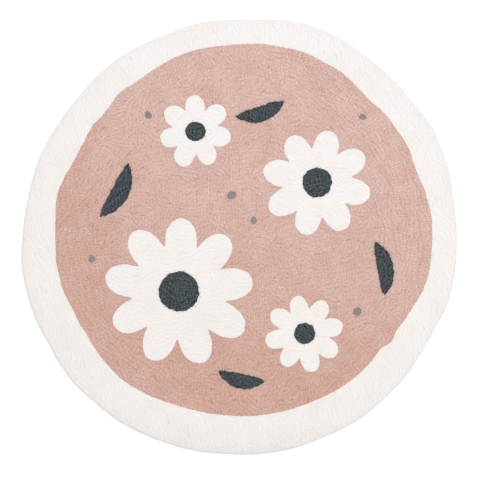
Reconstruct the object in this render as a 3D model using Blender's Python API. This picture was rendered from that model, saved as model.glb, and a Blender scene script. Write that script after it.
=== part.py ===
"""A round kids' rug: one thick sheet of hand-felted wool, lying flat.

Metres. +Z is up, +Y is the top of the rug's design, +X is its right-hand side.
The origin is the middle of the underside.
"""
import math

import bmesh
import bpy
from mathutils import Vector
from mathutils.geometry import delaunay_2d_cdt

NOMINAL_RADIUS = 0.600
FELT_THICKNESS = 0.0090
RIM_ROUNDING = 0.0065

# How far the hand-shaped rim stands out from the nominal circle, or in from it.
# The rows are picked by hand where the outline bends, read off measurements of the
# photo and rounded to half a millimetre.
# Columns: bearing in degrees from +X towards +Y, standout in millimetres.
RIM_TABLE = (
    (0, -1.0),
    (5, -2.0),
    (12, 0.5),
    (17, 5.0),
    (24, 8.0),
    (31, 11.0),
    (37, 5.0),
    (43, 5.5),
    (54, 8.0),
    (60, 12.0),
    (69, 14.0),
    (78, 9.5),
    (85, 0.0),
    (91, -2.0),
    (102, -2.5),
    (108, -7.5),
    (115, -8.5),
    (124, -6.5),
    (132, -10.5),
    (141, -14.0),
    (150, -13.0),
    (158, -10.0),
    (165, -10.5),
    (174, -8.0),
    (180, -5.0),
    (186, 1.5),
    (195, 3.0),
    (204, 2.5),
    (209, 0.0),
    (215, 3.5),
    (222, 6.0),
    (229, 3.0),
    (236, 4.5),
    (250, 0.5),
    (258, 0.0),
    (266, -2.5),
    (276, -1.0),
    (285, -0.5),
    (293, -2.5),
    (303, 0.5),
    (312, -2.5),
    (321, -2.5),
    (328, -6.5),
    (335, -5.0),
    (342, 2.5),
    (352, 1.0),
)

# Slow swells in the felt's thickness, where the wool was laid more or less deep.
# Columns: wavelength in metres, bearing of travel in degrees, phase in degrees,
# rise in millimetres.
SWELL_TABLE = (
    (0.53, 20, 40, 0.35),
    (0.37, 100, 200, 0.30),
    (0.29, 155, 310, 0.25),
    (0.21, 62, 95, 0.20),
)

RIM_STEPS = 132
ROUNDING_STEPS = 6
TOP_PITCH = 0.026

# The grid on the top stays this share of its pitch away from the rounded rim.
EDGE_GAP_SHARE = 0.55

WELD_DISTANCE = 1e-6

FELT_COLOR = (0.90, 0.86, 0.82, 1.0)
FELT_ROUGHNESS = 0.95

MILLIMETRE = 0.001
NODE_NAME = "felt_rug"


def clear_scene():
    """Remove every object of the scene that is open."""
    for item in list(bpy.data.objects):
        bpy.data.objects.remove(item, do_unlink=True)


def rim_slope(index):
    """Return the standout's change per degree at one row of the rim table."""
    count = len(RIM_TABLE)
    before_bearing, before_standout = RIM_TABLE[index - 1]
    after_bearing, after_standout = RIM_TABLE[(index + 1) % count]
    span = (after_bearing - before_bearing) % 360.0
    return (after_standout - before_standout) / span


def rim_radius(bearing):
    """Return the rug's radius at a bearing in degrees.

    A cubic runs between each two rows of the rim table, so the outline has no
    corners and passes through every row.
    """
    count = len(RIM_TABLE)
    for index in range(count):
        start, standout = RIM_TABLE[index]
        following = (index + 1) % count
        stop, next_standout = RIM_TABLE[following]
        span = (stop - start) % 360.0
        along = (bearing - start) % 360.0
        if along < span:
            break
    share = along / span
    square = share * share
    cube = square * share
    smooth = (2.0 * cube - 3.0 * square + 1.0) * standout
    smooth += (3.0 * square - 2.0 * cube) * next_standout
    smooth += (cube - 2.0 * square + share) * span * rim_slope(index)
    smooth += (cube - square) * span * rim_slope(following)
    return NOMINAL_RADIUS + smooth * MILLIMETRE


def rim_points(inset):
    """Return the outline as flat points, drawn in towards the middle by inset."""
    points = []
    for step in range(RIM_STEPS):
        bearing = 360.0 * step / RIM_STEPS
        radius = rim_radius(bearing) - inset
        angle = math.radians(bearing)
        points.append(Vector((radius * math.cos(angle), radius * math.sin(angle))))
    return points


def box_middle(points):
    """Return the middle of the box that flat points fill."""
    low_x = min(point.x for point in points)
    high_x = max(point.x for point in points)
    low_y = min(point.y for point in points)
    high_y = max(point.y for point in points)
    return Vector(((low_x + high_x) / 2.0, (low_y + high_y) / 2.0))


def felt_height(point):
    """Return the height of the felt's top over a flat point."""
    height = FELT_THICKNESS
    for wavelength, bearing, phase, rise in SWELL_TABLE:
        angle = math.radians(bearing)
        travel = point.x * math.cos(angle) + point.y * math.sin(angle)
        turn = 2.0 * math.pi * travel / wavelength + math.radians(phase)
        height += rise * MILLIMETRE * math.sin(turn)
    return height


def top_points(edge):
    """Return the edge of the level top and an even triangular grid inside it."""
    points = list(edge)
    reach = max(point.length for point in edge)
    row_pitch = TOP_PITCH * math.sqrt(3.0) / 2.0
    rows = int(reach / row_pitch) + 1
    columns = int(reach / TOP_PITCH) + 1
    for row in range(-rows, rows + 1):
        shift = TOP_PITCH / 2.0 if row % 2 else 0.0
        for column in range(-columns, columns + 1):
            point = Vector((column * TOP_PITCH + shift, row * row_pitch))
            bearing = math.degrees(math.atan2(point.y, point.x)) % 360.0
            limit = rim_radius(bearing) - RIM_ROUNDING - EDGE_GAP_SHARE * TOP_PITCH
            if point.length < limit:
                points.append(point)
    return points


def add_ring(felt, points, height_share):
    """Add one ring of corners, at a share of the felt's height at each corner."""
    ring = []
    for point in points:
        height = felt_height(point) * height_share
        ring.append(felt.verts.new((point.x, point.y, height)))
    return ring


def join_rings(felt, lower, upper):
    """Close the band between two rings with four-sided faces."""
    count = len(lower)
    for index in range(count):
        after = (index + 1) % count
        felt.faces.new((lower[index], lower[after], upper[after], upper[index]))


def add_rim(felt, middle):
    """Add the half-round rim, from the underside's edge to the edge of the top."""
    rings = []
    for step in range(ROUNDING_STEPS + 1):
        angle = math.pi * (step / ROUNDING_STEPS - 0.5)
        inset = RIM_ROUNDING * (1.0 - math.cos(angle))
        height_share = 0.5 + 0.5 * math.sin(angle)
        points = [point - middle for point in rim_points(inset)]
        rings.append(add_ring(felt, points, height_share))
    for lower, upper in zip(rings, rings[1:]):
        join_rings(felt, lower, upper)
    return rings


def add_top(felt, edge_ring, middle):
    """Fill the top inside its edge with near-even triangles on the swells."""
    edge = [corner.co.xy + middle for corner in edge_ring]
    points = top_points(edge)
    loop = [(index, (index + 1) % len(edge)) for index in range(len(edge))]
    flat_points, _, triangles, *_ = delaunay_2d_cdt(points, loop, [], 1, WELD_DISTANCE)
    corners = []
    for flat_point in flat_points:
        point = flat_point - middle
        corners.append(felt.verts.new((point.x, point.y, felt_height(point))))
    for triangle in triangles:
        felt.faces.new([corners[index] for index in triangle])


def felt_material():
    """Make the plain wool felt."""
    material = bpy.data.materials.new("wool_felt")
    material.use_nodes = True
    shader = material.node_tree.nodes["Principled BSDF"]
    shader.inputs["Base Color"].default_value = FELT_COLOR
    shader.inputs["Roughness"].default_value = FELT_ROUGHNESS
    shader.inputs["Metallic"].default_value = 0.0
    return material


def make_rug():
    """Model the rug as one closed sheet with a flat underside."""
    middle = box_middle(rim_points(0.0))
    felt = bmesh.new()
    rings = add_rim(felt, middle)
    felt.faces.new(list(reversed(rings[0])))
    add_top(felt, rings[-1], middle)
    bmesh.ops.remove_doubles(felt, verts=felt.verts, dist=WELD_DISTANCE)
    bmesh.ops.recalc_face_normals(felt, faces=felt.faces)
    mesh = bpy.data.meshes.new(NODE_NAME)
    felt.to_mesh(mesh)
    felt.free()
    mesh.shade_smooth()
    mesh.materials.append(felt_material())
    rug = bpy.data.objects.new(NODE_NAME, mesh)
    bpy.context.scene.collection.objects.link(rug)
    return rug


clear_scene()
make_rug()
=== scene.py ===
"""The looks of a round kids' rug: thick hand-felted wool with an inlaid design.

Metres. +Z is up and +Y is the top of the design. The rug lies flat on the floor.
It is one felt, but each colour of wool is a closed piece of its own, let into the
cream ground, and all of the pieces share one uneven surface.
"""
import math
from types import SimpleNamespace

import bpy
import numpy as np
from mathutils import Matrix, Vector
from mathutils.geometry import delaunay_2d_cdt
from mathutils.kdtree import KDTree


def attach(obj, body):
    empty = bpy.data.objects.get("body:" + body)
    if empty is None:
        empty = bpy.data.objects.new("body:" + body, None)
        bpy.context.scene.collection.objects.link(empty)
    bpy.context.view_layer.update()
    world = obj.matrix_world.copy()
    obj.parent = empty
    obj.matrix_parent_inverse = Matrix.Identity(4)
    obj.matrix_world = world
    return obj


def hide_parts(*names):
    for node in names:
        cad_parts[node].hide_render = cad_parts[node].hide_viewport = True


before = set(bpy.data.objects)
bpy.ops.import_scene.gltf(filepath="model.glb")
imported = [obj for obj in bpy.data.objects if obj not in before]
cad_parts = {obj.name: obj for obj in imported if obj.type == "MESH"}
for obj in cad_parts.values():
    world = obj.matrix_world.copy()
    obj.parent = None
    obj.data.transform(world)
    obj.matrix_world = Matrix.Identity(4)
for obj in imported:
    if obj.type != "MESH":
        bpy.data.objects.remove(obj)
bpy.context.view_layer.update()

MM = 0.001
TURN = 2.0 * math.pi
WHITE = (1.0, 1.0, 1.0, 1.0)

# ---- sizes of the rug

NOMINAL_RADIUS = 0.600
FIELD_RADIUS = 0.512
FELT_THICKNESS = 9.0 * MM
RIM_ROUNDING = 6.5 * MM
RECESS_DEPTH = 5.0 * MM
INLAY_GAP = 0.3 * MM

# How far the hand-shaped rim stands out from the nominal circle, or in from it.
# The rows are picked where the outline bends, read off measurements of the
# photo and rounded to half a millimetre.
# Columns: bearing in degrees from +X towards +Y, standout in millimetres.
RIM_TABLE = (
    (0, -1.0), (5, -2.0), (12, 0.5), (17, 5.0), (24, 8.0), (31, 11.0), (37, 5.0), (43, 5.5),
    (54, 8.0), (60, 12.0), (69, 14.0), (78, 9.5), (85, 0.0), (91, -2.0), (102, -2.5), (108, -7.5),
    (115, -8.5), (124, -6.5), (132, -10.5), (141, -14.0), (150, -13.0), (158, -10.0), (165, -10.5),
    (174, -8.0), (180, -5.0), (186, 1.5), (195, 3.0), (204, 2.5), (209, 0.0), (215, 3.5),
    (222, 6.0), (229, 3.0), (236, 4.5), (250, 0.5), (258, 0.0), (266, -2.5), (276, -1.0),
    (285, -0.5), (293, -2.5), (303, 0.5), (312, -2.5), (321, -2.5), (328, -6.5), (335, -5.0),
    (342, 2.5), (352, 1.0),
)

# The same for the edge of the pink field, against its own nominal circle.
FIELD_TABLE = (
    (0, 19.0), (6, 20.5), (11, 16.0), (14, 15.0), (18, 9.5), (23, 9.5), (27, 14.5), (31, 14.0),
    (34, 12.5), (38, 14.0), (42, 12.0), (46, 8.0), (50, 11.0), (56, 18.5), (60, 22.5), (63, 21.5),
    (71, 26.5), (76, 24.0), (84, 22.0), (90, 17.5), (97, 16.0), (104, 15.5), (110, 12.0),
    (117, 4.5), (123, 0.0), (130, 2.0), (134, -5.0), (139, -9.0), (143, -6.5), (148, -11.5),
    (153, -12.5), (158, -9.5), (163, -2.5), (168, 0.5), (174, -5.0), (184, -7.0), (188, -4.5),
    (192, -6.5), (196, -6.0), (204, -14.0), (209, -13.0), (213, -14.5), (219, -10.0), (226, -7.0),
    (231, -5.0), (240, -11.0), (250, -18.5), (262, -20.5), (280, -18.0), (296, -16.0), (304, -12.5),
    (315, -12.0), (322, -15.5), (325, -5.0), (330, -7.5), (333, -3.0), (338, 3.5), (343, 13.5),
    (350, 19.0),
)

# Slow swells in the felt's thickness, where the wool was laid more or less deep.
# Columns: wavelength in metres, bearing of travel in degrees, phase in degrees,
# rise in millimetres.
SWELL_TABLE = (
    (0.53, 20, 40, 0.35),
    (0.37, 100, 200, 0.30),
    (0.29, 155, 310, 0.25),
    (0.21, 62, 95, 0.20),
)

# ---- inlaid design

# Columns: x and y of the middle and reach of the petals, all in metres, number of
# petals, turn in degrees.
DAISY_TABLE = (
    (-0.165, -0.150, 0.205, 9, 8),
    (0.215, 0.150, 0.150, 8, 31),
    (0.180, -0.265, 0.108, 8, 12),
    (-0.120, 0.290, 0.100, 7, 40),
)
PETAL_ROOT = 0.40
PETAL_ROUNDNESS = 0.45
PETAL_NOTCH = 0.13
PETAL_VARIETY = 0.10
DAISY_MIDDLE = 0.27

# Columns: x and y of the middle, length and width, all in metres, turn in degrees.
LEAF_TABLE = (
    (-0.335, 0.125, 0.165, 0.050, 62),
    (0.060, 0.345, 0.140, 0.044, 18),
    (0.395, -0.085, 0.150, 0.046, 100),
    (0.005, -0.390, 0.130, 0.042, -12),
)
LEAF_POINT = 1.45
LEAF_BEND = 0.10

# Columns: x and y of the middle, length and width, all in metres, turn in degrees.
DOT_TABLE = (
    (-0.020, 0.115, 0.026, 0.021, 15),
    (0.040, 0.045, 0.020, 0.017, 80),
    (-0.250, 0.335, 0.021, 0.018, 140),
    (0.325, -0.205, 0.024, 0.019, 35),
    (-0.405, -0.060, 0.020, 0.017, 100),
    (0.340, 0.330, 0.020, 0.016, 170),
)

# How far a hand-cut edge strays from its drawn line. Columns: size of the swells in
# metres, reach in millimetres, seed.
SLOW_STRAY = (0.034, 1.30, 11)
QUICK_STRAYS = (
    (0.013, 0.75, 12),
    (0.006, 0.45, 13),
)
# North strays by noise of its own, with a seed this far from that of east.
STRAY_SEED_STEP = 100
# How freely each edge strays, as shares of the slow and of the quick reach.
RIM_CUT = (0.0, 0.5)
FIELD_CUT = (0.2, 1.3)
CREAM_CUT = (1.0, 1.0)
SLATE_CUT = (1.1, 2.4)
DOT_CUT = (1.0, 1.6)

# ---- crimp of the wool

# Short strokes of wool, felted down. In the middle of the rug they lie crosswise,
# in the rest of the field along its edge, and in the border mostly one way.
# Columns: width from stroke to stroke and length, both in metres, rise in
# millimetres, seed.
STROKE_TABLE = (
    (0.0115, 0.0250, 0.17, 41),
    (0.0086, 0.0165, 0.16, 42),
)
# Longer ones, only where the wool lies most evenly along the rim.
LONG_STROKES = (0.0092, 0.0480, 0.16, 47)
LONG_STROKES_REACH = (0.36, 0.45)
LONG_STROKES_EVENNESS = (0.45, 0.90)
STROKES_A_CELL = 3
STROKES_REACH = 1.1 * NOMINAL_RADIUS
# How fast a stroke dies out along its length and across its width.
STROKE_ENDS = (3.0, 2.0)
STROKE_SEED_STEP = 7
LAY_PATCH = 0.075
LAY_SEED = 43
LAY_PAINT_SEED = 2.0
LAY_FREEDOM = 1.3
LAY_AT_RIM = 0.9
LAY_EVENNESS = 0.7
LAY_EVEN_BEARING = math.radians(24.0)
LAY_STRAY = 2.0
# How far from the rug's middle the lay turns along the rim, and then the way that it
# has in the border.
LAY_FOLLOWS_RIM = (0.30, 0.44)
LAY_TURNS = (0.500, 0.530)
BORDER_LAY = math.radians(102.0)
BORDER_FREEDOM = 0.9

# How strongly strokes are painted lighter on their ridges and darker between them, and seams darker
# in their hollows, as light and shade.
RIDGE_CONTRAST = 0.17
SEAM_SHADE = 0.15

# Longer creases, which run along the edge of the field.
# Columns: first and last bearing in degrees, distance inside the edge and width in
# millimetres, share of the full depth.
CREASE_TABLE = (
    (68, 79, 18.0, 4.5, 0.9),
    (70, 80, 29.0, 4.2, 0.7),
    (47, 58, 12.0, 4.0, 0.5),
    (9, 21, 15.0, 4.0, 0.6),
    (-9, 3, 22.0, 4.2, 0.6),
    (-4, 9, 36.0, 4.0, 0.5),
    (148, 157, 14.0, 4.0, 0.4),
    (206, 214, 17.0, 4.0, 0.5),
)
CREASE_DEPTH = 0.50
CREASE_WANDER = 3.0
# The swells of that wander are this many degrees long.
CREASE_SWELL = 4
CREASE_SEED = 51
# Where a crease begins to fade and where it ends, as shares of half its length.
CREASE_ENDS = (0.6, 1.0)

# Lumps under the surface. Columns: size in metres, rise in millimetres, seed.
LUMP_TABLE = (
    (0.041, 0.32, 28),
    (0.018, 0.17, 29),
)
SEAM_WIDTH = 2.8 * MM
SEAM_DEPTH = 0.12
SEAM_ROUGHNESS = 0.6
SEAM_REACH = 8.0 * MM
BED_HEIGHT = FELT_THICKNESS - RECESS_DEPTH
UNDER_HOLLOW = 0.35 * MM
UNDER_ROUGHNESS = 0.5
RIM_UNEVENNESS = 0.30 * MM
RIM_LUMPS = 420
RIM_LUMP_BANDS = 0.45
RIM_LUMP_SEED = 31
# How much the rim's lumps are painted lighter where they bulge and darker between them, as light and
# shade.
RIM_CONTRAST = 0.3
# Shade painted just inside the rim, and how far in it fades.
INSIDE_SHADE = 0.11
INSIDE_SHADE_REACH = 9.0 * MM
# How much shade is painted on the rounded rim, and how much more on its side towards the light, to
# dim its lit rounding.
RIM_SHADE = 0.74
RIM_SHADE_LIT = 0.24
# The higher, the narrower the dark band.
RIM_SHADE_NARROWNESS = 3
RIM_LUMPINESS = 0.6
RIM_LUMPS_REACH = 20.0 * MM

# Towards one bearing the rim is lumpier and gets more painted shade, between these
# cosines of the angle from it.
LUMPY_SHADED_BEARING = math.radians(272.0)
LUMPY_SHADED_COSINES = (0.85, 1.0)
SHADIEST_RIM = 0.24
SHADIEST_INSIDE = 0.18
SHADIEST_REACH = 25.0 * MM
MOST_LUMPINESS = 3.0

# ---- wools

# Which way over the rug the colour is painted darker, as shade away from the light, and between which
# distances that way.
FAR_SHADE_WAY = (-0.44, -0.85, 0.0)
FAR_SHADE_OUTWARD = 0.2
FAR_SHADE_SPAN = (0.12, 0.60)
FAR_SHADE_PATCHES = 0.5

# Noises of the finish. Columns: width of the swells in metres, seed, detail, and
# roughness of the detail. The last two may be left out.
FAR_SHADE_NOISE = (0.22, 4.0)
PATCH_NOISE = (0.060, 11.0, 3.0, 0.7)
DYE_NOISE = (0.007, 23.0, 2.0, 0.7)
SPECK_NOISE = (0.0030, 17.0)
STRAY_NOISE = (0.014, 1.0)
STRAY_REACH = 0.006
SPECK_CONTRAST = 4.0
# Between these values of their noise, patches of warmer wool come in.
PATCHES = (0.38, 0.66)

# Fine strokes of the finish: width from stroke to stroke in metres, and from 0 to 1
# how long they are drawn out.
CRIMP = (0.0085, 0.8)
HAIRS = (0.0055, 0.6)
HAIR_HEIGHT = 0.35
FINE_FREQUENCY = 2.0
# Short creases painted dark, as shade in their dents: spacing, length and width in metres, share of
# cells with one.
DARK_DASHES = (0.034, 0.016, 0.0042, 0.7)
DASH_STRAY = 1.2
DASH_BEND = 0.35
DASH_EDGE = (1.6, 0.2)
DASH_DEPTH = 1.5
DARKEST = 0.004
# Roughness between strokes and on them, and of fibres.
FELT_ROUGHNESS = (1.0, 0.86)
FIBRE_ROUGHNESS = 0.85
WOOL_SHEEN = {"Sheen_Weight": 0.12, "Sheen_Roughness": 0.5, "Specular_IOR_Level": 0.15}

# colour and warm are linear colours. The two values after them are the shares of
# them that are left where the most shade is painted: on the side away from the light,
# and on the rounded rim or at the bottom of a crease. tint says how far each of red,
# green and blue follows the shading of the strokes, and the shares that come after say
# how strong each kind of unevenness is; ridges paints light and shade on the felt's
# relief, and dashes paints shade in short creases. fibres_a_metre is how many fibres
# lie on a square metre.
WOOLS = {
    "felt_cream": dict(
        colour=(0.859, 0.830, 0.815), warm=(0.840, 0.803, 0.780),
        away_from_light=(0.992, 0.986, 0.978), painted_shade=(0.712, 0.745, 0.762),
        tint=(0.9, 1.0, 1.1), redder=(0.01, -0.01, -0.02),
        patches=1.0, ridges=0.042, crimp=0.035, hairs=0.014,
        specks=0.016, dashes=0.04, bump=0.20, roughness=0.74,
        fibres=0.05, fibres_a_metre=5500.0,
    ),
    "felt_pink": dict(
        colour=(0.650, 0.447, 0.398), warm=(0.616, 0.401, 0.342),
        away_from_light=(0.942, 0.886, 0.840), painted_shade=(0.880, 0.810, 0.790),
        tint=(0.64, 1.0, 1.12), redder=(0.12, -0.07, -0.20),
        patches=0.9, ridges=0.12, crimp=0.18, hairs=0.18,
        specks=0.22, dashes=0.14, bump=0.35, roughness=1.0,
        fibres=0.15, fibres_a_metre=5500.0,
    ),
    "felt_slate": dict(
        colour=(0.057, 0.071, 0.078), warm=(0.060, 0.070, 0.072),
        away_from_light=(0.974, 0.968, 0.971), painted_shade=(0.810, 0.810, 0.810),
        tint=(1.0, 1.0, 0.95), redder=(0.15, 0.0, -0.15),
        patches=0.5, ridges=0.42, crimp=0.75, hairs=0.55,
        specks=0.75, dashes=0.3, bump=0.4, roughness=1.0,
        fibres=0.8, fibres_a_metre=25000.0,
    ),
    "felt_grey": dict(
        colour=(0.290, 0.258, 0.245), warm=(0.290, 0.250, 0.230),
        away_from_light=(0.972, 0.969, 0.967), painted_shade=(0.810, 0.810, 0.810),
        tint=(1.0, 1.0, 1.0), redder=(0.06, 0.0, -0.06),
        patches=0.4, ridges=0.10, crimp=0.15, hairs=0.12,
        specks=0.15, dashes=0.1, bump=0.3, roughness=1.0,
        fibres=0.4, fibres_a_metre=20000.0,
    ),
}

# ---- loose fibres

FIBRE_INPUTS = dict.fromkeys(("Density", "Length", "Thickness", "Curl"), "Float")
FIBRE_INPUTS.update(Wool="Int", Seed="Int", Material="Material")
LYING_FIBRES = dict(Length=17.0 * MM, Thickness=0.24 * MM, Curl=12.0 * MM)
RIM_FUZZ = dict(Length=4.5 * MM, Thickness=0.30 * MM, Curl=3.0 * MM, Density=90000.0, Seed=9)
# How many times more fibres lie along a change of colour than on the open wool.
SEAM_CROWD = 7.0
# Lengths, start and stop are shares of a fibre's full length. curl is the width of
# its bends in metres, and upright how far it also bends up and down.
LYING_FORM = dict(lengths=(0.45, 1.4), start=-0.5, stop=0.5, points=6, curl=0.009, upright=0.0)
FUZZ_FORM = dict(lengths=(0.4, 1.3), start=-0.15, stop=1.0, points=4, curl=0.005, upright=1.0)
CURL_DRAWS = 40.0
FIBRE_SIDES = 3
# A fibre has this share of its thickness at its ends, and all of it where the shares
# of its length on both sides, multiplied, come to the second value of the taper.
FIBRE_TIP = 0.35
FIBRE_TAPER = (0.0, 0.16)
# Fibres are dropped on the wool from this height. They are then raised by LOFT times
# their noise less LOFT_SUNK, so that some of their length sinks in.
FALL_HEIGHT = 0.05
LOFT = 0.8 * MM
LOFT_SUNK = 0.42
LOFT_NOISE = (0.006, 3.0)
# Fuzz grows only this far out, where the surface is tilted between these limits.
FUZZ_FROM = NOMINAL_RADIUS - 30.0 * MM
FUZZ_TILTS = (-0.35, 0.90)
FUZZ_STRAY = ((-0.9, -0.9, -0.5), (0.9, 0.9, 0.9))
FUZZ_LOWEST = (-1.0, -1.0, 0.3 * MM)
# Seeds of the random draws.
SHADE_DRAW = 5
TURN_DRAW = 6
LENGTH_DRAW = 7

# ---- camera and light

# The photo's side, and in it the rug's width and middle, all in pixels.
PHOTO_SIDE = 480
RUG_WIDTH = 436.5
RUG_MIDDLE_X = 238.5
RUG_MIDDLE_Y = 236.5
METRES_A_PIXEL = 2.0 * NOMINAL_RADIUS / RUG_WIDTH
# Lens and sensor in millimetres.
LENS = 85.0
SENSOR = 36.0
LIGHT_BEARING = math.radians(56.0)
LIGHT_HEIGHT = math.radians(60.0)
LIGHT_DISTANCE = 9.5
LIGHT_WIDTH = 4.0
LIGHT_POWER = 349.0
LIGHT_COLOUR = (1.0, 0.99, 0.98)
ROOM_LIGHT = 0.76
# The floor reflects and glows about as much, so that it only just comes out white
# and throws little light on the rug's rim.
FLOOR_PALENESS = 0.50
FLOOR_GLOW = 0.51
FLOOR_REACH = 6.0
FLOOR_GAP = 0.2 * MM
FLOOR_ROUGHNESS = 0.9

# ---- fineness

TOP_SPACING = 3.0 * MM
SEAM_SPACING = 1.7 * MM
UNDER_SPACING = 8.0 * MM
RIM_BANDS = 10
KEEP_CLEAR = 0.62
OUTLINE_STEPS = 1440
LEAST_STEPS = 12
# The bearings of a round outline's points.
AROUND = np.arange(OUTLINE_STEPS) * TURN / OUTLINE_STEPS
LATTICE_REACH = 1.05 * NOMINAL_RADIUS
SHARP_EDGE = math.radians(55.0)
CDT_TOLERANCE = 1e-9
CDT_INSIDE_ONLY = 1
SMALLEST_LENGTH = 1e-12

# Odd numbers that scatter a cell's place over all values, and shifts that mix them.
COLUMN_SCRAMBLER = np.uint32(374761393)
ROW_SCRAMBLER = np.uint32(668265263)
KEY_SCRAMBLER = np.uint32(1274126177)
KEY_SHIFTS = (np.uint32(13), np.uint32(16))
SEED_SCRAMBLER = 40503
SEED_SHIFT = 9176
NOISE_GAIN = 1.5


# ---- noise

def scrambled(column, row, seed):
    """Return a repeatable number from 0 to 1 for each cell of a lattice."""
    key = column.astype(np.int64).astype(np.uint32) * COLUMN_SCRAMBLER
    key = key + row.astype(np.int64).astype(np.uint32) * ROW_SCRAMBLER
    key = key + np.uint32(seed * SEED_SCRAMBLER + SEED_SHIFT)
    key = (key ^ (key >> KEY_SHIFTS[0])) * KEY_SCRAMBLER
    key = key ^ (key >> KEY_SHIFTS[1])
    return key.astype(np.float64) / 2.0**32


def eased(share):
    """Return a share from 0 to 1 eased in and out, without a jump in its bend."""
    return share * share * share * (share * (share * 6.0 - 15.0) + 10.0)


def wool_noise(x, y, seed, around=None):
    """Return smooth noise from about -1 to 1, with one swell to each unit.

    With around, the pattern repeats after that many units of x.
    """
    column = np.floor(x)
    row = np.floor(y)
    across = x - column
    along = y - row
    ease_across = eased(across)
    ease_along = eased(along)
    total = np.zeros_like(x)
    for right in (0, 1):
        for upper in (0, 1):
            side = column + right
            if around:
                side = side % around
            angle = TURN * scrambled(side, row + upper, seed)
            slope = np.cos(angle) * (across - right) + np.sin(angle) * (along - upper)
            share = (ease_across if right else 1.0 - ease_across)
            share = share * (ease_along if upper else 1.0 - ease_along)
            total += slope * share
    return total * NOISE_GAIN


def ramp(value, low, high):
    """Return a smooth step from 0 at low to 1 at high."""
    share = np.clip((value - low) / (high - low), 0.0, 1.0)
    return share * share * (3.0 - 2.0 * share)


def between(share, first, second):
    """Return what lies between two values: the first at 0 and the second at 1."""
    return first + share * (second - first)


# The sums that lay_angle does on arrays. Wiring has the same ones on nodes.
ARRAY_SUMS = SimpleNamespace(cos=np.cos, sin=np.sin, arctan2=np.arctan2, ramp=ramp)


# ---- outlines

def standout(table, bearings):
    """Read a table of bearing and standout at any bearings, without corners."""
    rows = np.array(table, float)
    starts = rows[:, 0]
    standouts = rows[:, 1]
    spans = (np.roll(starts, -1) - starts) % 360.0
    slopes = np.roll(standouts, -1) - np.roll(standouts, 1)
    slopes = slopes / (spans + np.roll(spans, 1))
    index = np.searchsorted(starts, bearings, side="right") - 1
    following = (index + 1) % len(rows)
    span = spans[index]
    share = (bearings - starts[index]) / span
    square = share * share
    cube = square * share
    smooth = (2.0 * cube - 3.0 * square + 1.0) * standouts[index]
    smooth += (3.0 * square - 2.0 * cube) * standouts[following]
    smooth += (cube - 2.0 * square + share) * span * slopes[index]
    smooth += (cube - square) * span * slopes[following]
    return smooth * MM


def flat_points(reach, bearing):
    """Return flat points at distances and bearings from the middle."""
    return np.stack([reach * np.cos(bearing), reach * np.sin(bearing)], axis=1)


def round_outline(nominal, table, inset=0.0):
    """Return the flat points of the rug's rim or of its field's edge."""
    return flat_points(nominal - inset + standout(table, np.degrees(AROUND)), AROUND)


def placed(points, x, y, turn):
    """Turn flat points by an angle in degrees and move them into place."""
    angle = math.radians(turn)
    east = points[:, 0] * math.cos(angle) - points[:, 1] * math.sin(angle)
    north = points[:, 0] * math.sin(angle) + points[:, 1] * math.cos(angle)
    return np.stack([east + x, north + y], axis=1)


def daisy_outline(reach, petals):
    """Return a flower's outline, with full round petals and narrow gaps."""
    notch = PETAL_NOTCH**2
    petal = (np.cos(AROUND * petals / 2.0) ** 2 + notch) / (1.0 + notch)
    petal = petal ** (0.5 * PETAL_ROUNDNESS)
    number = np.floor(AROUND * petals / TURN + 0.5) % petals
    longer = 1.0 + PETAL_VARIETY * (scrambled(number, number * 0.0, petals) - 0.5)
    return flat_points(reach * between(petal * longer, PETAL_ROOT, 1.0), AROUND)


def oval_spot(length, width):
    """Return the outline of an oval or round spot."""
    return np.stack([np.cos(AROUND) * length / 2.0, np.sin(AROUND) * width / 2.0], axis=1)


def leaf_outline(length, width):
    """Return a plain leaf's outline: pointed at both ends and a little bent."""
    side = np.sign(np.sin(AROUND)) * np.abs(np.sin(AROUND)) ** LEAF_POINT
    bend = LEAF_BEND * length * (np.cos(AROUND) ** 2 - 0.5)
    return np.stack([np.cos(AROUND) * length / 2.0, side * width / 2.0 + bend], axis=1)


def hand_cut(points, cut):
    """Make an outline uneven, as wool is where it was pulled or cut by hand.

    The points follow a gentle warp of the whole plane. Moved along its own normal
    instead, an outline crosses itself where it turns sharply, as between two petals.
    """
    slow, quick = cut
    strays = [(slow, *SLOW_STRAY)] + [(quick, *row) for row in QUICK_STRAYS]
    warped = points.copy()
    for share, size, reach, seed in strays:
        x, y = points[:, 0] / size, points[:, 1] / size
        for axis in (0, 1):
            stray = wool_noise(x, y, seed + STRAY_SEED_STEP * axis)
            warped[:, axis] += share * reach * MM * stray
    return warped


def evenly_spaced(points, spacing):
    """Walk a closed outline and return points on it at even steps."""
    closed = np.concatenate([points, points[:1]])
    steps = np.linalg.norm(np.diff(closed, axis=0), axis=1)
    walked = np.concatenate([[0.0], np.cumsum(steps)])
    count = max(LEAST_STEPS, int(round(walked[-1] / spacing)))
    stops = np.arange(count) * walked[-1] / count
    x = np.interp(stops, walked, closed[:, 0])
    y = np.interp(stops, walked, closed[:, 1])
    return np.stack([x, y], axis=1)


def edge_gap(points, nominal, table):
    """Return how far inside a round outline each flat point lies."""
    bearings = np.degrees(np.arctan2(points[:, 1], points[:, 0])) % 360.0
    return nominal + standout(table, bearings) - np.hypot(points[:, 0], points[:, 1])


def rim_gap(points):
    """Return how far inside the rug's rim each flat point lies."""
    return edge_gap(points, NOMINAL_RADIUS, RIM_TABLE)


# ---- felt surface

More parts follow.
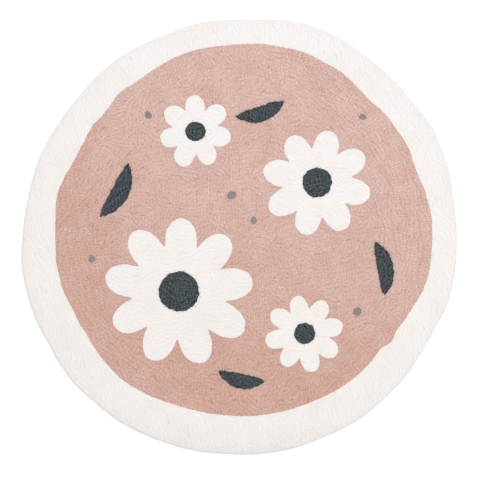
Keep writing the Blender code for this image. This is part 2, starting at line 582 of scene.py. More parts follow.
def lay_angle(sums, bearing, reach, wander):
    """Return the angle at which the wool lies, by sums on arrays or on nodes.

    A stroke has no front or back, so the ways that it may lie are mixed at double
    their angles. wander is noise from about -1 to 1.
    """
    along_edge = sums.ramp(reach, *LAY_FOLLOWS_RIM)
    in_border = sums.ramp(reach, *LAY_TURNS)
    at_edge = LAY_AT_RIM - LAY_EVENNESS * sums.cos(2.0 * (bearing - LAY_EVEN_BEARING))
    freedom = between(along_edge, LAY_FREEDOM, at_edge)
    freedom = between(in_border, freedom, BORDER_FREEDOM)
    east = between(along_edge, 1.0, -1.0 * sums.cos(2.0 * bearing))
    north = -1.0 * along_edge * sums.sin(2.0 * bearing)
    east = between(in_border, east, math.cos(2.0 * BORDER_LAY))
    north = between(in_border, north, math.sin(2.0 * BORDER_LAY))
    return 0.5 * sums.arctan2(north, east) + freedom * wander


def lay_bearing(x, y):
    """Return the angle at which the wool lies at flat places of the rug."""
    wander = wool_noise(x / LAY_PATCH, y / LAY_PATCH, LAY_SEED)
    return lay_angle(ARRAY_SUMS, np.arctan2(y, x), np.hypot(x, y), wander)


def strokes(x, y, width, length, seed):
    """Return felted-down strokes of wool: high along each and low between them."""
    reach = int(STROKES_REACH / length) + 2
    column, row = np.meshgrid(np.arange(2 * reach), np.arange(2 * reach))
    home_column = np.floor(x / length).astype(int) + reach
    home_row = np.floor(y / length).astype(int) + reach
    total = np.zeros_like(x)
    ends, sides = STROKE_ENDS
    for number in range(STROKES_A_CELL):
        first = seed + STROKE_SEED_STEP * number
        draws = [scrambled(column, row, first + draw) for draw in range(4)]
        middle_x = (column - reach + draws[0]) * length
        middle_y = (row - reach + draws[1]) * length
        stray = LAY_STRAY * width / length * (draws[2] - 0.5)
        angle = lay_bearing(middle_x, middle_y) + stray
        phase = TURN * draws[3]
        for right in (-1, 0, 1):
            for upper in (-1, 0, 1):
                cell = (home_row + upper, home_column + right)
                east = x - middle_x[cell]
                north = y - middle_y[cell]
                turned_east = np.cos(angle[cell])
                turned_north = np.sin(angle[cell])
                along = (east * turned_east + north * turned_north) / length
                across = (north * turned_east - east * turned_north) / width
                share = np.exp(-ends * along * along - sides * across * across)
                total += share * np.cos(TURN * across + phase[cell])
    return total / total.std()


def evenness(x, y):
    """Return from 0 to 1 how evenly the wool lies, for the long strokes."""
    aligned = np.cos(np.arctan2(y, x) - LAY_EVEN_BEARING)
    return ramp(np.hypot(x, y), *LONG_STROKES_REACH) * ramp(aligned, *LONG_STROKES_EVENNESS)


def creases(points):
    """Return from 0 to 1 how deep each flat point lies in a long crease."""
    bearings = np.degrees(np.arctan2(points[:, 1], points[:, 0])) % 360.0
    inside = edge_gap(points, FIELD_RADIUS, FIELD_TABLE) / MM
    swells = 360 // CREASE_SWELL
    inside += CREASE_WANDER * wool_noise(bearings / CREASE_SWELL, bearings * 0.0, CREASE_SEED, swells)
    deepest = np.zeros(len(points))
    for first, last, distance, width, depth in CREASE_TABLE:
        middle = (first + last) / 2.0
        along = ((bearings - middle + 180.0) % 360.0 - 180.0) / ((last - first) / 2.0)
        share = np.exp(-(((inside - distance) / (width / 2.0)) ** 2))
        share *= depth * (1.0 - ramp(np.abs(along), *CREASE_ENDS))
        deepest = np.maximum(deepest, share)
    return deepest


def lumpy_shaded_side(points):
    """Return from 0 to 1 how near flat points lie to where the rim is lumpiest and most shade is
    painted.
    """
    bearings = np.arctan2(points[:, 1], points[:, 0])
    return ramp(np.cos(bearings - LUMPY_SHADED_BEARING), *LUMPY_SHADED_COSINES)


def felt_relief(points, seam_gap, roughness):
    """Return the felt's rise over its mean, and its ridges from 0 to 1.

    seam_gap is each point's distance from a change of colour, and roughness is
    how far the strokes of its wool stand out.
    """
    x, y = points[:, 0], points[:, 1]
    lumpier = RIM_LUMPINESS + MOST_LUMPINESS * lumpy_shaded_side(points)
    lumpier = 1.0 + lumpier * np.exp(-rim_gap(points) / RIM_LUMPS_REACH)
    rise = np.zeros(len(points))
    ridges = np.zeros(len(points))
    layers = [(row, 1.0) for row in STROKE_TABLE] + [(LONG_STROKES, evenness(x, y))]
    for (width, length, height, seed), share in layers:
        layer = strokes(x, y, width, length, seed) * share
        rise += height * layer
        ridges += layer
    rise *= roughness * lumpier
    rise -= creases(points) * CREASE_DEPTH
    for size, height, seed in LUMP_TABLE:
        rise += height * lumpier * wool_noise(x / size, y / size, seed)
    seam = np.exp(-((seam_gap / SEAM_WIDTH) ** 2))
    rise -= SEAM_DEPTH * seam
    ridges = np.clip(0.5 + RIDGE_CONTRAST * ridges - SEAM_SHADE * seam, 0.0, 1.0)
    return rise * MM, ridges


def swell_height(points):
    """Return the plain height of the felt's top, without its strokes and lumps."""
    height = np.full(len(points), FELT_THICKNESS)
    for wavelength, bearing, phase, rise in SWELL_TABLE:
        angle = math.radians(bearing)
        travel = points[:, 0] * math.cos(angle) + points[:, 1] * math.sin(angle)
        turn = TURN * travel / wavelength + math.radians(phase)
        height = height + rise * MM * np.sin(turn)
    return height


# ---- triangles

def lattice(reach, spacing):
    """Return an even triangular lattice of flat points out to a reach."""
    row_pitch = spacing * math.sqrt(3.0) / 2.0
    rows = np.arange(-int(reach / row_pitch) - 1, int(reach / row_pitch) + 2)
    columns = np.arange(-int(reach / spacing) - 1, int(reach / spacing) + 2)
    column, row = np.meshgrid(columns, rows)
    x = (column + 0.5 * (row % 2)) * spacing
    y = row * row_pitch
    return np.stack([x.ravel(), y.ravel()], axis=1)


def distances(points, targets):
    """Return each flat point's distance to the nearest of the targets."""
    tree = KDTree(len(targets))
    for index, (x, y) in enumerate(targets.tolist()):
        tree.insert((x, y, 0.0), index)
    tree.balance()
    return np.array([tree.find((x, y, 0.0))[2] for x, y in points.tolist()])


class Triangulation:
    """Flat triangles over a set of outlines, each knowing its innermost outline."""

    def __init__(self, outlines, filling):
        corners = np.concatenate(outlines + [filling])
        rings = []
        first = 0
        for outline in outlines:
            rings.append(list(range(first, first + len(outline))))
            first += len(outline)
        corners = [Vector(corner) for corner in corners.tolist()]
        result = delaunay_2d_cdt(corners, [], rings, CDT_INSIDE_ONLY, CDT_TOLERANCE)
        points, _, triangles, sources, _, rings_around = result
        self.points = np.array([tuple(point) for point in points])
        self.triangles = np.array(triangles)
        self.region = np.array([max(rings_round) for rings_round in rings_around])
        self.source = np.array([ids[0] if ids else -1 for ids in sources])
        if (self.source < 0).any():
            raise ValueError("an outline crosses itself or another one")
        self.turn_up()

    def turn_up(self):
        """Turn every triangle so that it faces up."""
        a, b, c = (self.points[self.triangles[:, side]] for side in range(3))
        ahead = b - a
        aside = c - a
        area = ahead[:, 0] * aside[:, 1] - ahead[:, 1] * aside[:, 0]
        flipped = area < 0.0
        self.triangles[flipped] = self.triangles[flipped][:, ::-1]

    def by_source(self):
        """Return the corner that each outline point became."""
        found = np.full(self.source.max() + 1, -1)
        found[self.source] = np.arange(len(self.source))
        return found

    def spread(self, values):
        """Give each corner the value of a region that it touches."""
        spread = np.zeros(len(self.points))
        spread[self.triangles] = np.array(values)[self.region][:, None]
        return spread

    def cut_out(self, number):
        """Return a region's corners, its triangles between them, and their new numbers."""
        used, numbers = np.unique(self.triangles[self.region == number], return_inverse=True)
        here = np.full(len(self.points), -1)
        here[used] = np.arange(len(used))
        return used, numbers.reshape(-1, 3), here


def open_edges(triangles, count):
    """Return the edges that only one triangle has, in that triangle's direction."""
    edges = np.concatenate([triangles[:, [0, 1]], triangles[:, [1, 2]], triangles[:, [2, 0]]])
    forward = edges[:, 0] * count + edges[:, 1]
    backward = edges[:, 1] * count + edges[:, 0]
    return edges[~np.isin(forward, backward)]


def drawn_in(points, edges, distance):
    """Return points moved in from their open edges, which have the inside at left."""
    ahead = points[edges[:, 1]] - points[edges[:, 0]]
    inward = np.stack([-ahead[:, 1], ahead[:, 0]], axis=1)
    total = np.zeros_like(points)
    np.add.at(total, edges[:, 0], inward)
    np.add.at(total, edges[:, 1], inward)
    length = np.maximum(np.linalg.norm(total, axis=1, keepdims=True), SMALLEST_LENGTH)
    return points + total / length * distance


# ---- meshes

def new_object(name, data):
    """Return a new object of the scene."""
    item = bpy.data.objects.new(name, data)
    bpy.context.scene.collection.objects.link(item)
    return item


class Shell:
    """Corners and faces of one piece while it is put together.

    Each corner also carries two values from 0 to 1 for the finish: how far it
    stands on a ridge of the felt, which is painted lighter as light and shade, and
    how much shade is painted on it at the rim or in a crease.
    """

    def __init__(self):
        self.corners = []
        self.values = {"ridge": [], "painted_shade": []}
        self.faces = []
        self.count = 0

    def add_corners(self, flat, height, ridge=0.5, painted_shade=0.0):
        """Add corners and return their numbers."""
        numbers = np.arange(self.count, self.count + len(flat))
        self.corners.append(np.column_stack([flat, np.broadcast_to(height, len(flat))]))
        self.values["ridge"].append(np.broadcast_to(ridge, len(flat)))
        self.values["painted_shade"].append(np.broadcast_to(painted_shade, len(flat)))
        self.count += len(flat)
        return numbers

    def add_faces(self, faces):
        """Add faces, given as rows of corner numbers."""
        self.faces.extend(faces.tolist())

    def add_band(self, lower, upper):
        """Close the band between two rings of corners."""
        self.add_faces(np.stack([lower, np.roll(lower, -1), np.roll(upper, -1), upper], axis=1))

    def add_wall(self, edges, lower, height):
        """Hang a wall from open edges of a top, and return its lower corners."""
        border = np.unique(edges)
        lower_of = np.full(len(lower), -1)
        lower_of[border] = self.add_corners(lower[border], height)
        start, stop = edges[:, 0], edges[:, 1]
        self.add_faces(np.stack([lower_of[start], lower_of[stop], stop, start], axis=1))
        return lower_of

    def finish(self, name, material):
        """Return the piece as an object, smooth but for its hidden walls."""
        mesh = bpy.data.meshes.new(name)
        mesh.from_pydata(np.concatenate(self.corners).tolist(), [], self.faces)
        for label, values in self.values.items():
            attribute = mesh.attributes.new(label, "FLOAT", "POINT")
            attribute.data.foreach_set("value", np.concatenate(values).astype(np.float32))
        mesh.shade_smooth()
        mesh.set_sharp_from_angle(angle=SHARP_EDGE)
        mesh.materials.append(material)
        return new_object(name, mesh)


# ---- node trees

class Wire:
    """A node's output, on which sums are written with the usual signs."""

    def __init__(self, wiring, socket):
        self.wiring = wiring
        self.socket = socket

    def __add__(self, other):
        return self.wiring.maths("ADD", self, other)

    def __sub__(self, other):
        return self.wiring.maths("SUBTRACT", self, other)

    def __rsub__(self, other):
        return self.wiring.maths("SUBTRACT", other, self)

    def __mul__(self, other):
        return self.wiring.maths("MULTIPLY", self, other)

    def __truediv__(self, other):
        return self.wiring.maths("DIVIDE", self, other)

    __radd__ = __add__
    __rmul__ = __mul__


def is_vector(term):
    """Return whether a term of a sum is a vector or a colour."""
    if isinstance(term, Wire):
        return term.socket.type in ("VECTOR", "RGBA")
    return isinstance(term, tuple)


class Wiring:
    """The nodes of a material or of a Geometry Nodes tree while they are wired up."""

    def add(self, kind, numbered=(), **named):
        """Add a node, and set its options and inputs.

        Inputs come by number, or by a name with a capital letter and with _ for each
        space. The other names are options.
        """
        node = self.tree.nodes.new(kind)
        inputs = dict(numbered)
        for name, value in named.items():
            if name[0].isupper():
                inputs[name.replace("_", " ")] = value
            else:
                setattr(node, name, value)
        for socket, value in inputs.items():
            self.feed(node.inputs[socket], value)
        return node

    def feed(self, socket, value):
        """Set an input to a value, or link a wire to it."""
        if isinstance(value, Wire):
            self.tree.links.new(value.socket, socket)
        elif socket.type == "VECTOR" and isinstance(value, float):
            socket.default_value = (value,) * 3
        else:
            socket.default_value = value

    def wire(self, kind, numbered=(), output=0, **named):
        """Add a node and return one of its outputs."""
        return Wire(self, self.add(kind, numbered, **named).outputs[output])

    def wires(self, kind, **named):
        """Add a node and return its outputs by their names."""
        return {socket.name: Wire(self, socket) for socket in self.add(kind, **named).outputs}

    def maths(self, operation, *terms):
        """Return a sum on numbers, or on vectors if a term of it is one."""
        kind = "ShaderNodeVectorMath" if any(map(is_vector, terms)) else "ShaderNodeMath"
        return self.wire(kind, enumerate(terms), operation=operation)

    def cos(self, angle):
        return self.maths("COSINE", angle)

    def sin(self, angle):
        return self.maths("SINE", angle)

    def arctan2(self, north, east):
        return self.maths("ARCTAN2", north, east)

    def parts(self, place):
        """Return a vector's X, Y and Z."""
        return self.wires("ShaderNodeSeparateXYZ", Vector=place)

    def length(self, place):
        """Return how long a vector is."""
        return self.wire("ShaderNodeVectorMath", output="Value", operation="LENGTH", Vector=place)

    def noise(self, place, size, seed, detail=1.0, rough=0.5, output="Fac"):
        """Return soft noise from 0 to 1 whose swells are about as wide as size."""
        return self.wire(
            "ShaderNodeTexNoise", output=output, noise_dimensions="4D",
            Vector=place, Scale=1.0 / size, W=seed, Detail=detail, Roughness=rough,
        )

    def ramp(self, value, low, high):
        """Return a smooth step from 0 at low to 1 at high."""
        return self.wire(
            "ShaderNodeMapRange", interpolation_type="SMOOTHSTEP",
            Value=value, From_Min=low, From_Max=high,
        )


class Paint(Wiring):
    """A material while it is wired up."""

    def __init__(self, name):
        self.material = bpy.data.materials.new(name)
        self.material.use_nodes = True
        self.tree = self.material.node_tree

    def attribute(self, name):
        """Return one of the piece's own values."""
        return self.wire("ShaderNodeAttribute", output="Fac", attribute_name=name)

    def finish(self, **looks):
        """Give the surface its looks, and return the material."""
        shader = self.tree.nodes["Principled BSDF"]
        for name, value in looks.items():
            self.feed(shader.inputs[name.replace("_", " ")], value)
        return self.material


class Recipe(Wiring):
    """A Geometry Nodes tree while it is wired up."""

    def __init__(self, name, inputs):
        self.tree = bpy.data.node_groups.new(name, "GeometryNodeTree")
        sockets = self.tree.interface
        sockets.new_socket("Geometry", in_out="INPUT", socket_type="NodeSocketGeometry")
        self.identifiers = {}
        for label, kind in inputs.items():
            socket = sockets.new_socket(label, in_out="INPUT", socket_type="NodeSocket" + kind)
            self.identifiers[label] = socket.identifier
        sockets.new_socket("Geometry", in_out="OUTPUT", socket_type="NodeSocketGeometry")
        self.given = self.wires("NodeGroupInput")
        self.result = self.add("NodeGroupOutput").inputs[0]

    def chance(self, low, high, seed):
        """Return a number drawn anew for each point or fibre."""
        return self.wire("FunctionNodeRandomValue", {2: low, 3: high, "Seed": seed}, 1)

    def named(self, name, kind="FLOAT"):
        """Return a value that the geometry carries."""
        return self.wire("GeometryNodeInputNamedAttribute", Name=name, data_type=kind)

    def place(self):
        """Return where each point of the geometry is."""
        return self.wire("GeometryNodeInputPosition")

    def run(self, source, name, **inputs):
        """Return what the tree makes of an object, as a plain mesh object."""
        piece = new_object(name, source.data)
        growth = piece.modifiers.new("growth", "NODES")
        growth.node_group = self.tree
        for label, value in inputs.items():
            growth[self.identifiers[label]] = value
        bpy.context.view_layer.update()
        evaluated = piece.evaluated_get(bpy.context.evaluated_depsgraph_get())
        mesh = bpy.data.meshes.new_from_object(evaluated)
        piece.modifiers.remove(growth)
        piece.data = mesh
        mesh.name = name
        mesh.shade_flat()
        return piece


# ---- felt materials

def lay_of(paint, place):
    """Return the angle at which the wool lies, with a wander of the paint's own."""
    parts = paint.parts(place)
    bearing = paint.arctan2(parts["Y"], parts["X"])
    wander = 2.0 * paint.noise(place, LAY_PATCH, LAY_PAINT_SEED) - 1.0
    return lay_angle(paint, bearing, paint.length(place), wander)


def fine_strokes(paint, place, lay, width, stretch):
    """Return strokes of wool finer than the mesh holds, from -1 to 1."""
    pattern = paint.wire(
        "ShaderNodeTexGabor", Vector=place, Scale=1.0 / (FINE_FREQUENCY * width),
        Frequency=FINE_FREQUENCY, Anisotropy=stretch, Orientation=lay,
    )
    return 2.0 * pattern - 1.0


def dark_dashes(paint, place, lay, spacing, length, width, share):
    """Return short creases along the lay, painted dark as shade in their dents, one in a cell that
    has one, up to 1.
    """
    cell = paint.wires(
        "ShaderNodeTexVoronoi", voronoi_dimensions="2D", Vector=place, Scale=1.0 / spacing
    )
    drawn = paint.wires("ShaderNodeSeparateColor", Color=cell["Color"])
    local = (place - cell["Position"]) * (1.0, 1.0, 0.0)
    angle = DASH_STRAY * (0.5 - drawn["Red"]) - lay
    turned = paint.wire(
        "ShaderNodeVectorRotate", rotation_type="Z_AXIS", Vector=local, Angle=angle
    )
    parts = paint.parts(turned)
    along = parts["X"] / (length / 2.0)
    across = (parts["Y"] + along * along * (DASH_BEND * width)) / (width / 2.0)
    present = paint.ramp(drawn["Green"], 1.0 - share, 1.0 - 0.5 * share)
    return paint.ramp(along * along + across * across, *DASH_EDGE) * present


def faded(colour, share, left):
    """Return a colour of which less is left, down to left where share is 1."""
    return colour * (share * tuple(value - 1.0 for value in left) + 1.0)


def felt_paint(name, wool):
    """Make a wool felt from its row in WOOLS."""
    paint = Paint(name)
    place = paint.wire("ShaderNodeTexCoord", output="Object")
    stray = paint.noise(place, *STRAY_NOISE, output="Color") - 0.5
    wandering = stray * (STRAY_REACH, STRAY_REACH, 0.0) + place
    lay = lay_of(paint, place)

    # Painted shade: darker towards the lower left, away from the light, and towards the rim, in
    # uneven patches.
    way = paint.parts(place * FAR_SHADE_WAY)
    way = way["X"] + way["Y"] + FAR_SHADE_OUTWARD * paint.length(place)
    way = way + FAR_SHADE_PATCHES * paint.noise(place, *FAR_SHADE_NOISE)
    share = wool["patches"] * paint.ramp(paint.noise(place, *PATCH_NOISE), *PATCHES)
    warmer = tuple(warm - plain for plain, warm in zip(wool["colour"], wool["warm"]))
    colour = share * warmer + wool["colour"]
    colour = faded(colour, paint.ramp(way, *FAR_SHADE_SPAN), wool["away_from_light"])
    # Painted shade on the rounded rim, just inside it and in creases.
    colour = faded(colour, paint.attribute("painted_shade"), wool["painted_shade"])

    # Painted light on the felt's ridges and shade in its hollows and seams.
    ridge = 2.0 * paint.attribute("ridge") - 1.0
    crimp = fine_strokes(paint, wandering, lay, *CRIMP)
    hairs = fine_strokes(paint, wandering, lay, *HAIRS)
    specks = SPECK_CONTRAST * (paint.noise(place, *SPECK_NOISE) - 0.5)
    # Short creases painted dark, as shade in their dents.
    dashes = dark_dashes(paint, wandering, lay, *DARK_DASHES)
    shade = wool["ridges"] * ridge + wool["crimp"] * crimp + wool["hairs"] * hairs
    shade = shade + wool["specks"] * specks - wool["dashes"] * dashes
    redder = (paint.noise(place, *DYE_NOISE) - 0.5) * wool["redder"] + 1.0
    colour = colour * (shade * wool["tint"] + redder)

    height = crimp + HAIR_HEIGHT * hairs - DASH_DEPTH * dashes
    return paint.finish(
        Base_Color=paint.maths("MAXIMUM", colour, DARKEST),
        Normal=paint.wire("ShaderNodeBump", Height=height, Distance=wool["bump"] * MM),
        Roughness=between(paint.ramp(crimp, -1.0, 1.0), *FELT_ROUGHNESS),
        **WOOL_SHEEN,
    )


def fibre_paint(name, wool):
    """Make the finish of single fibres, some paler and some darker than the felt."""
    paint = Paint(name)
    shade = wool["fibres"] * (2.0 * paint.ramp(paint.attribute("shade"), 0.0, 1.0) - 1.0)
    colour = (shade * wool["tint"] + 1.0) * wool["colour"]
    return paint.finish(Base_Color=colour, Roughness=FIBRE_ROUGHNESS, **WOOL_SHEEN)


# ---- loose fibres

def grown(recipe, spots, turn, lengths, start, stop, points, curl, upright):
    """Return a fibre on each spot, as a curve that is turned and then curled.

    Its line runs along X from start to stop, before it is made as long as drawn, and
    upright is how far it also curls up and down.
    """
    line = recipe.wire(
        "GeometryNodeCurvePrimitiveLine", Start=(start, 0.0, 0.0), End=(stop, 0.0, 0.0)
    )
    line = recipe.wire("GeometryNodeResampleCurve", Curve=line, Count=points)
    length = recipe.given["Length"] * recipe.chance(*lengths, LENGTH_DRAW)
    laid = recipe.wire(
        "GeometryNodeInstanceOnPoints", Points=spots, Instance=line, Rotation=turn, Scale=length
    )
    curves = recipe.wire("GeometryNodeRealizeInstances", Geometry=laid)
    draw = CURL_DRAWS * recipe.named("shade")
    bend = recipe.noise(recipe.place(), curl, draw, output="Color") - 0.5
    bend = bend * (1.0, 1.0, upright) * recipe.given["Curl"]
    return recipe.wire("GeometryNodeSetPosition", Geometry=curves, Offset=bend)


def thickened(recipe, curves):
    """Give fibres their round section, which thins out towards the ends."""
    share = recipe.wire("GeometryNodeSplineParameter")
    radius = between(recipe.ramp((1.0 - share) * share, *FIBRE_TAPER), FIBRE_TIP, 1.0)
    curves = recipe.wire("GeometryNodeSetCurveRadius", Curve=curves, Radius=radius)
    half = 0.5 * recipe.given["Thickness"]
    section = recipe.wire(
        "GeometryNodeCurvePrimitiveCircle", Resolution=FIBRE_SIDES, Radius=half
    )
    tube = recipe.wire(
        "GeometryNodeCurveToMesh",
        Curve=curves, Profile_Curve=section, Fill_Caps=True, Scale=radius,
    )
    material = recipe.given["Material"]
    finished = recipe.wire("GeometryNodeSetMaterial", Geometry=tube, Material=material)
    recipe.feed(recipe.result, finished)


def sown(recipe, where, density):
    """Return spots for fibres, with a shade from 0 to 1 drawn for each, and normals."""
    spots = recipe.wires(
        "GeometryNodeDistributePointsOnFaces", Mesh=recipe.given["Geometry"],
        Selection=where, Density=density, Seed=recipe.given["Seed"],
    )
    shade = recipe.chance(0.0, 1.0, SHADE_DRAW)
    shaded = recipe.wire(
        "GeometryNodeStoreNamedAttribute", Geometry=spots["Points"], Name="shade", Value=shade
    )
    return shaded, spots["Normal"]


def lying_fibres():
    """Build the tree that lays loose fibres on the wool of one colour."""
    recipe = Recipe("lying_fibres", FIBRE_INPUTS)
    given = recipe.given
    wools = {2: recipe.named("wool", "INT"), 3: given["Wool"]}
    chosen = recipe.wire("FunctionNodeCompare", wools, data_type="INT", operation="EQUAL")
    density = given["Density"] * (SEAM_CROWD * recipe.named("seam") + 1.0)
    spots, _ = sown(recipe, chosen, density)
    turn = recipe.wire("ShaderNodeCombineXYZ", Z=recipe.chance(0.0, TURN, TURN_DRAW))
    curves = grown(recipe, spots, turn, **LYING_FORM)

    met = recipe.wires(
        "GeometryNodeRaycast", Target_Geometry=given["Geometry"],
        Source_Position=recipe.place() + (0.0, 0.0, FALL_HEIGHT),
        Ray_Direction=(0.0, 0.0, -1.0), Ray_Length=2.0 * FALL_HEIGHT,
    )
    loft = LOFT * (recipe.noise(recipe.place(), *LOFT_NOISE) - LOFT_SUNK)
    landed = met["Hit Position"] + recipe.wire("ShaderNodeCombineXYZ", Z=loft)
    curves = recipe.wire(
        "GeometryNodeSetPosition", Geometry=curves, Selection=met["Is Hit"], Position=landed
    )
    thickened(recipe, curves)
    return recipe


def rim_fuzz():
    """Build the tree that lets short fibres stand out from the rug's rim."""
    recipe = Recipe("rim_fuzz", FIBRE_INPUTS)
    tilt = recipe.parts(recipe.wire("GeometryNodeInputNormal"))["Z"]
    outer = recipe.maths("GREATER_THAN", recipe.length(recipe.place()), FUZZ_FROM)
    upper = recipe.maths("GREATER_THAN", tilt, FUZZ_TILTS[0])
    lower = recipe.maths("LESS_THAN", tilt, FUZZ_TILTS[1])
    spots, normal = sown(recipe, outer * (upper * lower), recipe.given["Density"])
    limits = enumerate(FUZZ_STRAY)
    stray = recipe.wire("FunctionNodeRandomValue", limits, data_type="FLOAT_VECTOR")
    turn = recipe.wire("FunctionNodeAlignRotationToVector", axis="X", Vector=normal + stray)
    curves = grown(recipe, spots, turn, **FUZZ_FORM)
    raised = recipe.maths("MAXIMUM", recipe.place(), FUZZ_LOWEST)
    curves = recipe.wire("GeometryNodeSetPosition", Geometry=curves, Position=raised)
    thickened(recipe, curves)
    return recipe


# ---- camera and light

def make_camera():
    """Look straight down on the rug, framed as in the photo."""
    data = bpy.data.cameras.new("camera")
    data.lens = LENS
    data.sensor_width = SENSOR
    camera = new_object("camera", data)
    width = PHOTO_SIDE * METRES_A_PIXEL
    middle = (PHOTO_SIDE - 1) / 2.0
    east = (middle - RUG_MIDDLE_X) * METRES_A_PIXEL
    south = (middle - RUG_MIDDLE_Y) * METRES_A_PIXEL
    camera.location = (east, -south, FELT_THICKNESS + width * LENS / SENSOR)
    bpy.context.scene.camera = camera


def make_light():
    """Light the rug softly from above its upper edge, in a pale room."""
    data = bpy.data.lights.new("window_light", "AREA")
    data.shape = "DISK"
    data.size = LIGHT_WIDTH
    data.energy = LIGHT_POWER
    data.color = LIGHT_COLOUR
    light = new_object("window_light", data)
    east = math.cos(LIGHT_BEARING) * math.cos(LIGHT_HEIGHT)
    north = math.sin(LIGHT_BEARING) * math.cos(LIGHT_HEIGHT)
    light.location = Vector((east, north, math.sin(LIGHT_HEIGHT))) * LIGHT_DISTANCE
    light.rotation_euler = (-light.location).to_track_quat("-Z", "Y").to_euler()
    world = bpy.data.worlds.new("pale_room")
    world.use_nodes = True
    background = world.node_tree.nodes["Background"]
    background.inputs["Color"].default_value = WHITE
    background.inputs["Strength"].default_value = ROOM_LIGHT
    bpy.context.scene.world = world
    bpy.context.scene.view_settings.view_transform = "Standard"


def make_floor():
    """Lay a plain pale floor under the rug."""
    material = Paint("pale_floor").finish(
        Base_Color=(FLOOR_PALENESS,) * 3 + (1.0,),
        Roughness=FLOOR_ROUGHNESS,
        Emission_Color=WHITE,
        Emission_Strength=FLOOR_GLOW,
    )
    mesh = bpy.data.meshes.new("floor")
    corners = [(-1, -1), (1, -1), (1, 1), (-1, 1)]
    corners = [(east * FLOOR_REACH, north * FLOOR_REACH, 0.0) for east, north in corners]
    mesh.from_pydata(corners, [], [(0, 1, 2, 3)])
    mesh.materials.append(material)
    floor = new_object("floor", mesh)
    floor.location.z = -FLOOR_GAP


# ---- pieces

def design_outlines():
    """Return each colour's outline with its name and slot, outer ones first."""
    design = []

    def draw(name, slot, outline, cut):
        """Add one colour's outline, cut by hand."""
        design.append((name, slot, hand_cut(outline, cut)))

    draw("pink_field", "felt_pink", round_outline(FIELD_RADIUS, FIELD_TABLE), FIELD_CUT)
    for number, (x, y, reach, petals, turn) in enumerate(DAISY_TABLE, 1):
        flower = placed(daisy_outline(reach, petals), x, y, turn)
        draw(f"daisy_{number}", "felt_cream", flower, CREAM_CUT)
        width = 2.0 * reach * DAISY_MIDDLE
        middle = placed(oval_spot(width, width), x, y, turn)
        draw(f"daisy_{number}_middle", "felt_slate", middle, SLATE_CUT)
    leaves = ("leaf", "felt_slate", LEAF_TABLE, leaf_outline, SLATE_CUT)
    dots = ("dot", "felt_grey", DOT_TABLE, oval_spot, DOT_CUT)
    for name, slot, table, outline, cut in (leaves, dots):
        for number, (x, y, length, width, turn) in enumerate(table, 1):
            spot = placed(outline(length, width), x, y, turn)
            draw(f"{name}_{number}", slot, spot, cut)
    return design


def make_inlay(name, material, fine, coarse, number, surface, ridges):
    """Make one colour's piece: its uneven top, its sides and its flat bed."""
    used, top, here = fine.cut_out(number)
    flat = fine.points[used]
    shell = Shell()
    # The creases are painted darker, as shade in them.
    shell.add_corners(flat, surface[used], ridges[used], creases(flat))
    shell.add_faces(top)
    edges = open_edges(top, len(used))
    lower = drawn_in(flat, edges, INLAY_GAP)
    lower_of = shell.add_wall(edges, lower, BED_HEIGHT + INLAY_GAP)
    to_fine = fine.by_source()[coarse.source]
    below = coarse.triangles[coarse.region == number]
    shell.add_faces(lower_of[here[to_fine[below]]][:, ::-1])
    return shell.finish(name, material)


def add_rim(shell, ring, start, height):
    """Add the half-round rim below a ring of corners and return its lowest ring."""
    outward = start / np.linalg.norm(start, axis=1, keepdims=True)
    walk = np.arange(len(ring)) / len(ring) * RIM_LUMPS
    # Shade painted on the rim: more on its side towards the light, to dim its lit rounding, and more
    # on the lumpy side.
    lit = np.cos(np.arctan2(start[:, 1], start[:, 0]) - LIGHT_BEARING)
    painted_dark = RIM_SHADE + RIM_SHADE_LIT * lit + SHADIEST_RIM * lumpy_shaded_side(start)
    for step in range(1, RIM_BANDS + 1):
        angle = math.pi * (0.5 - step / RIM_BANDS)
        down = np.full(len(ring), step * RIM_LUMP_BANDS)
        uneven = wool_noise(walk, down, RIM_LUMP_SEED, RIM_LUMPS)
        bulge = (RIM_ROUNDING + RIM_UNEVENNESS * uneven) * math.cos(angle)
        flat = start + outward * bulge[:, None]
        level = height * (0.5 + 0.5 * math.sin(angle))
        painted_shade = painted_dark * math.cos(angle) ** RIM_SHADE_NARROWNESS
        # The rim's lumps are painted lighter where they bulge, as light and shade.
        lower = shell.add_corners(flat, level, 0.5 + RIM_CONTRAST * uneven, painted_shade)
        shell.add_band(lower, ring)
        ring = lower
    return ring


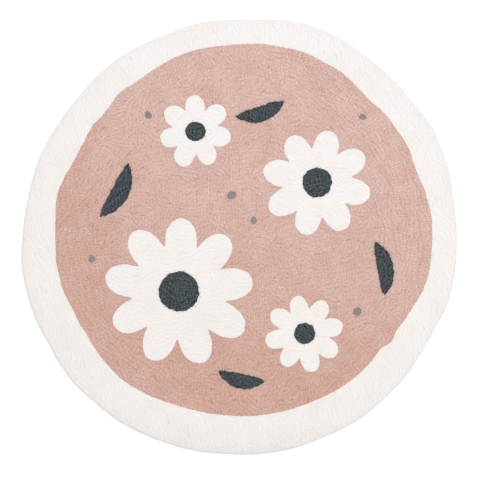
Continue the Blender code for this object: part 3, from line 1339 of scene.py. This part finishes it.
def make_ground(material, fine, coarse, surface, ridges, rim_count):
    """Make the cream ground: border, rounded rim, underside and the field's bed."""
    used, top, here = fine.cut_out(0)
    flat = fine.points[used]
    shell = Shell()
    level = rim_gap(flat) - RIM_ROUNDING
    # Shade painted just inside the rim, more on the lumpy side.
    most = SHADIEST_INSIDE * lumpy_shaded_side(flat)
    painted_dark = INSIDE_SHADE * np.exp(-level / INSIDE_SHADE_REACH) + most * np.exp(-level / SHADIEST_REACH)
    shell.add_corners(flat, surface[used], ridges[used], painted_dark)
    shell.add_faces(top)
    by_source = fine.by_source()
    rim_top = by_source[:rim_count]
    edges = open_edges(top, len(used))
    edges = edges[~np.isin(edges[:, 0], here[rim_top])]
    lower_of = shell.add_wall(edges, flat, BED_HEIGHT)

    below = coarse.triangles[coarse.region > 0]
    corners, numbers = np.unique(below, return_inverse=True)
    source = by_source[coarse.source[corners]]
    on_border = here[source] >= 0
    bed_of = np.empty(len(corners), int)
    bed_of[on_border] = lower_of[here[source[on_border]]]
    bed_of[~on_border] = shell.add_corners(coarse.points[corners[~on_border]], BED_HEIGHT)
    shell.add_faces(bed_of[numbers.reshape(-1, 3)])

    start = fine.points[rim_top]
    ring = add_rim(shell, here[rim_top], start, surface[rim_top])
    inside = lattice(LATTICE_REACH, UNDER_SPACING)
    inside = inside[rim_gap(inside) > RIM_ROUNDING + KEEP_CLEAR * UNDER_SPACING]
    under = Triangulation([start], inside)
    no_seam_near = np.full(len(under.points), NOMINAL_RADIUS)
    relief, _ = felt_relief(under.points, no_seam_near, UNDER_ROUGHNESS)
    relief = np.clip(relief + UNDER_HOLLOW, 0.0, 2.0 * UNDER_HOLLOW)
    on_rim = under.source < rim_count
    under_of = np.empty(len(under.points), int)
    under_of[on_rim] = ring[under.source[on_rim]]
    under_of[~on_rim] = shell.add_corners(under.points[~on_rim], relief[~on_rim])
    shell.add_faces(under_of[under.triangles][:, ::-1])
    return shell.finish("felt_ground", material)


def make_guide(fine, surface, wools, seam_gap):
    """Make the whole top as one mesh that knows its wools and seams."""
    mesh = bpy.data.meshes.new("guide")
    corners = np.column_stack([fine.points, surface])
    mesh.from_pydata(corners.tolist(), [], fine.triangles.tolist())
    wool = mesh.attributes.new("wool", "INT", "FACE")
    wool.data.foreach_set("value", np.array(wools, np.int32)[fine.region])
    seam = mesh.attributes.new("seam", "FLOAT", "POINT")
    seam.data.foreach_set("value", np.exp(-((seam_gap / SEAM_WIDTH) ** 2)).astype(np.float32))
    return new_object("guide", mesh)


def make_fibres(guide, ground):
    """Lay loose fibres on each wool and let a fuzz stand out from the rim."""
    fibres = []
    laying = lying_fibres()
    for number, (slot, wool) in enumerate(WOOLS.items()):
        name = slot.replace("felt_", "") + "_fibres"
        inputs = {"Wool": number, "Seed": number, "Density": wool["fibres_a_metre"]}
        inputs["Material"] = fibre_paint(name, wool)
        piece = laying.run(guide, name, **inputs, **LYING_FIBRES)
        fibres.append(piece)
    material = fibres[0].data.materials[0]
    fuzz = rim_fuzz().run(ground, "rim_fuzz", Material=material, **RIM_FUZZ)
    return fibres + [fuzz]


def make_rug():
    """Make every colour's piece on one shared surface."""
    paints = {slot: felt_paint(slot, wool) for slot, wool in WOOLS.items()}
    slots = list(WOOLS)
    design = design_outlines()
    wools = [0] + [slots.index(slot) for _, slot, _ in design]
    rim = hand_cut(round_outline(NOMINAL_RADIUS, RIM_TABLE, RIM_ROUNDING), RIM_CUT)
    outlines = [evenly_spaced(rim, TOP_SPACING)]
    outlines += [evenly_spaced(outline, SEAM_SPACING) for _, _, outline in design]
    rim_count = len(outlines[0])
    drawn = np.concatenate(outlines)
    filling = lattice(LATTICE_REACH, TOP_SPACING)
    filling = filling[rim_gap(filling) > RIM_ROUNDING]
    filling = filling[distances(filling, drawn) > KEEP_CLEAR * TOP_SPACING]
    fine = Triangulation(outlines, filling)
    coarse = Triangulation(outlines, np.zeros((0, 2)))

    seam_gap = distances(fine.points, drawn[rim_count:])
    own = fine.spread([WOOLS[slots[wool]]["roughness"] for wool in wools])
    roughness = between(ramp(seam_gap, 0.0, SEAM_REACH), SEAM_ROUGHNESS, own)
    relief, ridges = felt_relief(fine.points, seam_gap, roughness)
    surface = swell_height(fine.points) + relief
    ground = make_ground(paints["felt_cream"], fine, coarse, surface, ridges, rim_count)
    others = []
    for number, (name, slot, _) in enumerate(design, 1):
        inlay = make_inlay(name, paints[slot], fine, coarse, number, surface, ridges)
        others.append(inlay)
    guide = make_guide(fine, surface, wools, seam_gap)
    others += make_fibres(guide, ground)
    bpy.data.objects.remove(guide)
    return ground, others


make_camera()
make_light()
make_floor()
ground, others = make_rug()
for piece in [ground] + others:
    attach(piece, "root")
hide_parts("felt_rug")
